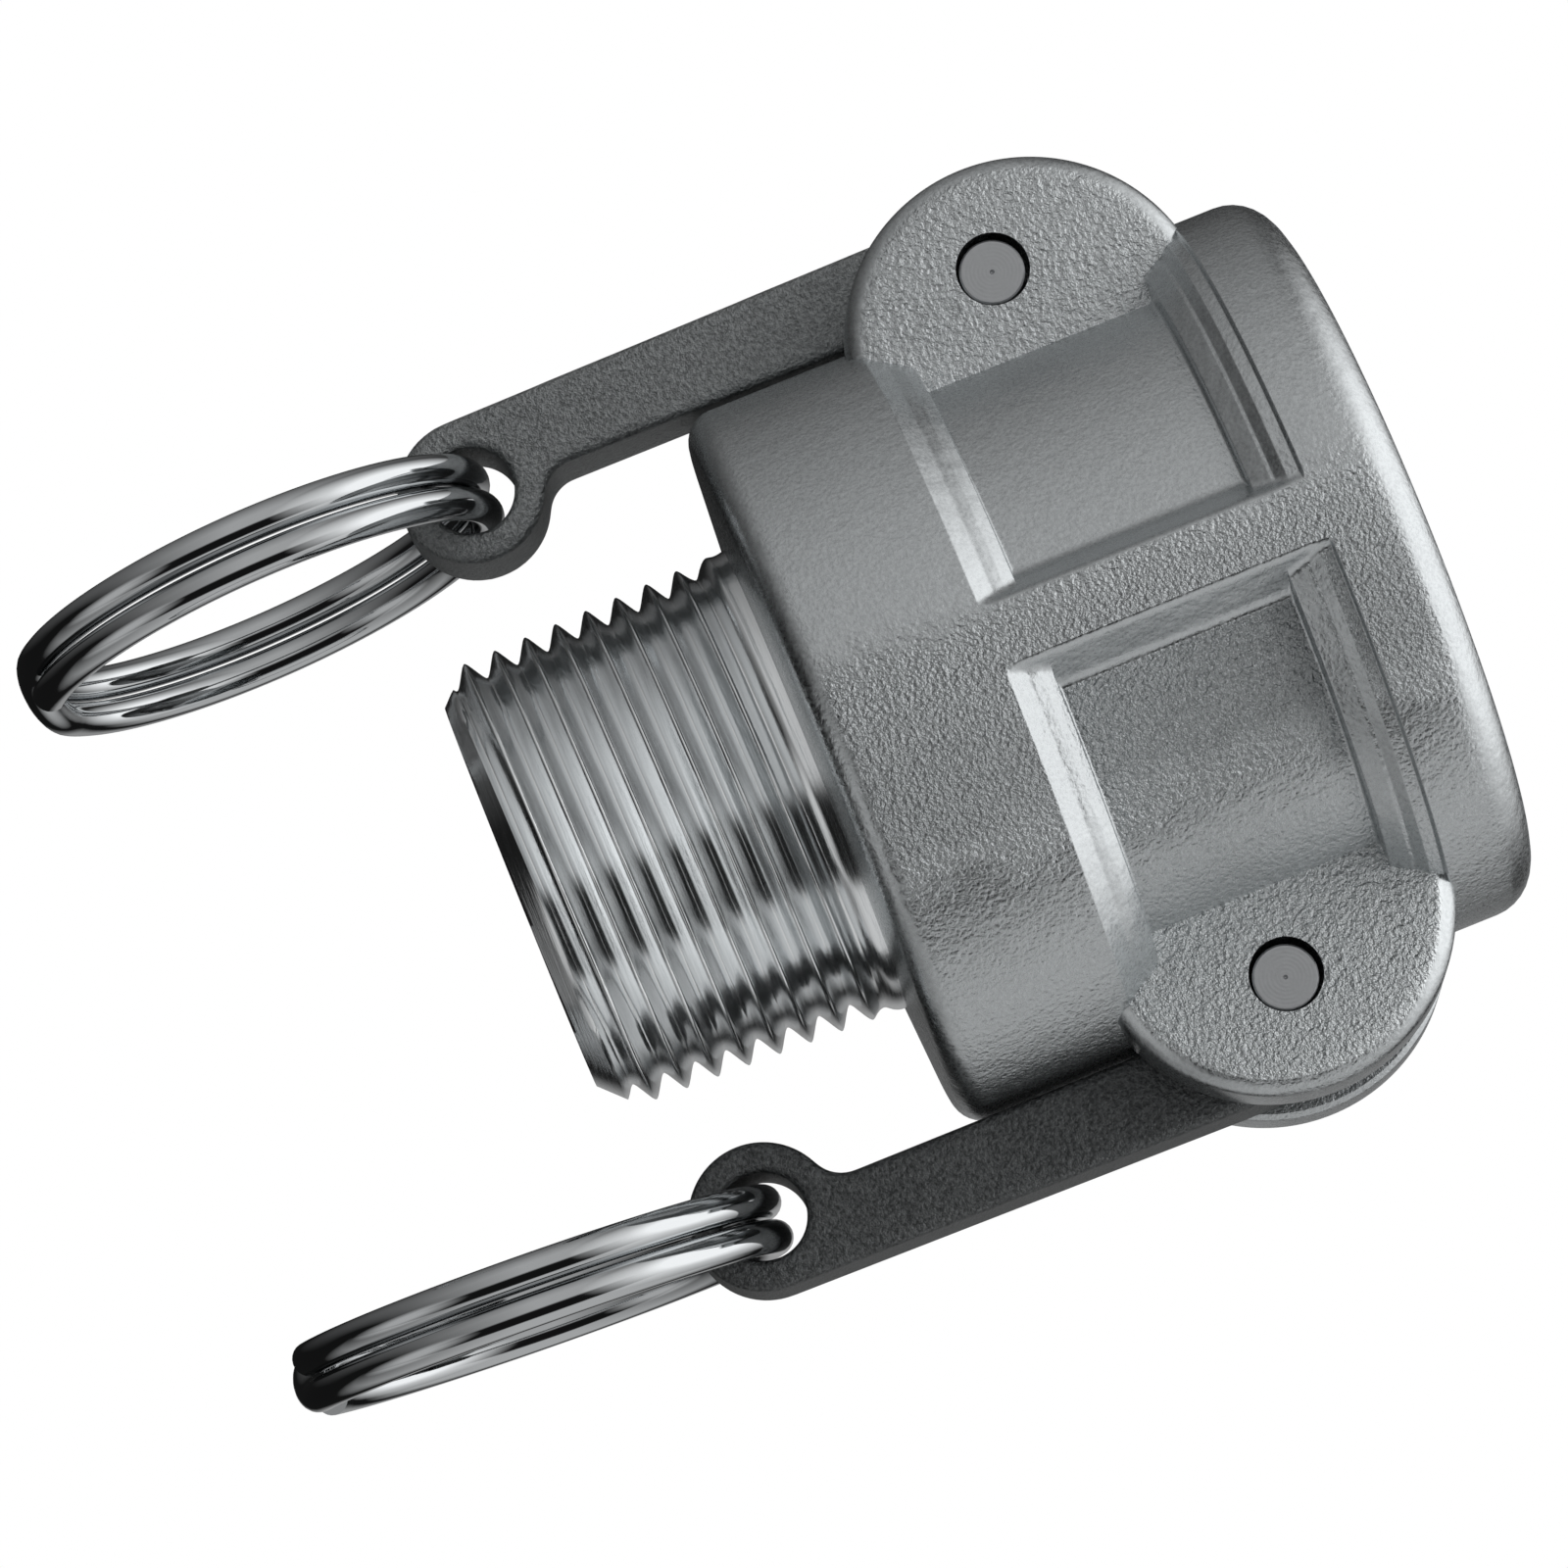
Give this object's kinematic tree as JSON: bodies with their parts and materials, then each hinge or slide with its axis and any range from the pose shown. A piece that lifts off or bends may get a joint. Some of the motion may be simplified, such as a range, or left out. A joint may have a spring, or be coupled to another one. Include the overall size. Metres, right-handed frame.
{
  "type": "cam and groove coupling",
  "caption": "Cast steel hose coupling: a socket with cam levers and pull rings that clamps onto a grooved adapter, on a male taper pipe thread.",
  "frame": {"origin": "on the axis, at the plane of the thread's free end, where the coupling is screwed into what holds it", "axes": "+Z along the axis from the thread to the socket's mouth; the lever pins lie along Y; the left lever is at -X and the right lever at +X"},
  "size_m": [0.0544, 0.042, 0.0735],
  "materials": {
    "cast_steel": "investment cast stainless steel, shot blasted to an even satin grain; the thread and the socket are machined",
    "lever_steel": "investment cast stainless steel, tumbled, a shade darker than the body",
    "pin_steel": "turned stainless steel, plain ends with a centre mark",
    "ring_wire": "bright drawn stainless wire",
    "seal_rubber": "black nitrile rubber, matt"
  },
  "bodies": {
    "coupler": {"coupler_body": "cast_steel", "gasket": "seal_rubber"},
    "left_lever": {"cam_lever_left": "lever_steel", "pivot_pin_left": "pin_steel"},
    "right_lever": {"cam_lever_right": "lever_steel", "pivot_pin_right": "pin_steel"},
    "left_ring": {"pull_ring_left": "ring_wire"},
    "right_ring": {"pull_ring_right": "ring_wire"}
  },
  "joints": [
    {"name": "left_lever_hinge", "type": "hinge", "parent": "coupler", "child": "left_lever", "pos_m": [-0.02095, 0, 0.0366], "axis": [0, 1, 0], "range_deg": [0, 110]},
    {"name": "right_lever_hinge", "type": "hinge", "parent": "coupler", "child": "right_lever", "pos_m": [0.02095, 0, 0.0366], "axis": [0, -1, 0], "range_deg": [0, 110]},
    {"name": "left_ring_swing", "type": "hinge", "parent": "left_lever", "child": "left_ring", "pos_m": [-0.0217, 0, 0.0058], "axis": [0, 1, 0], "range_deg": [-40, 130]},
    {"name": "right_ring_swing", "type": "hinge", "parent": "right_lever", "child": "right_ring", "pos_m": [0.0217, 0, 0.0058], "axis": [0, -1, 0], "range_deg": [-40, 130]}
  ]
}
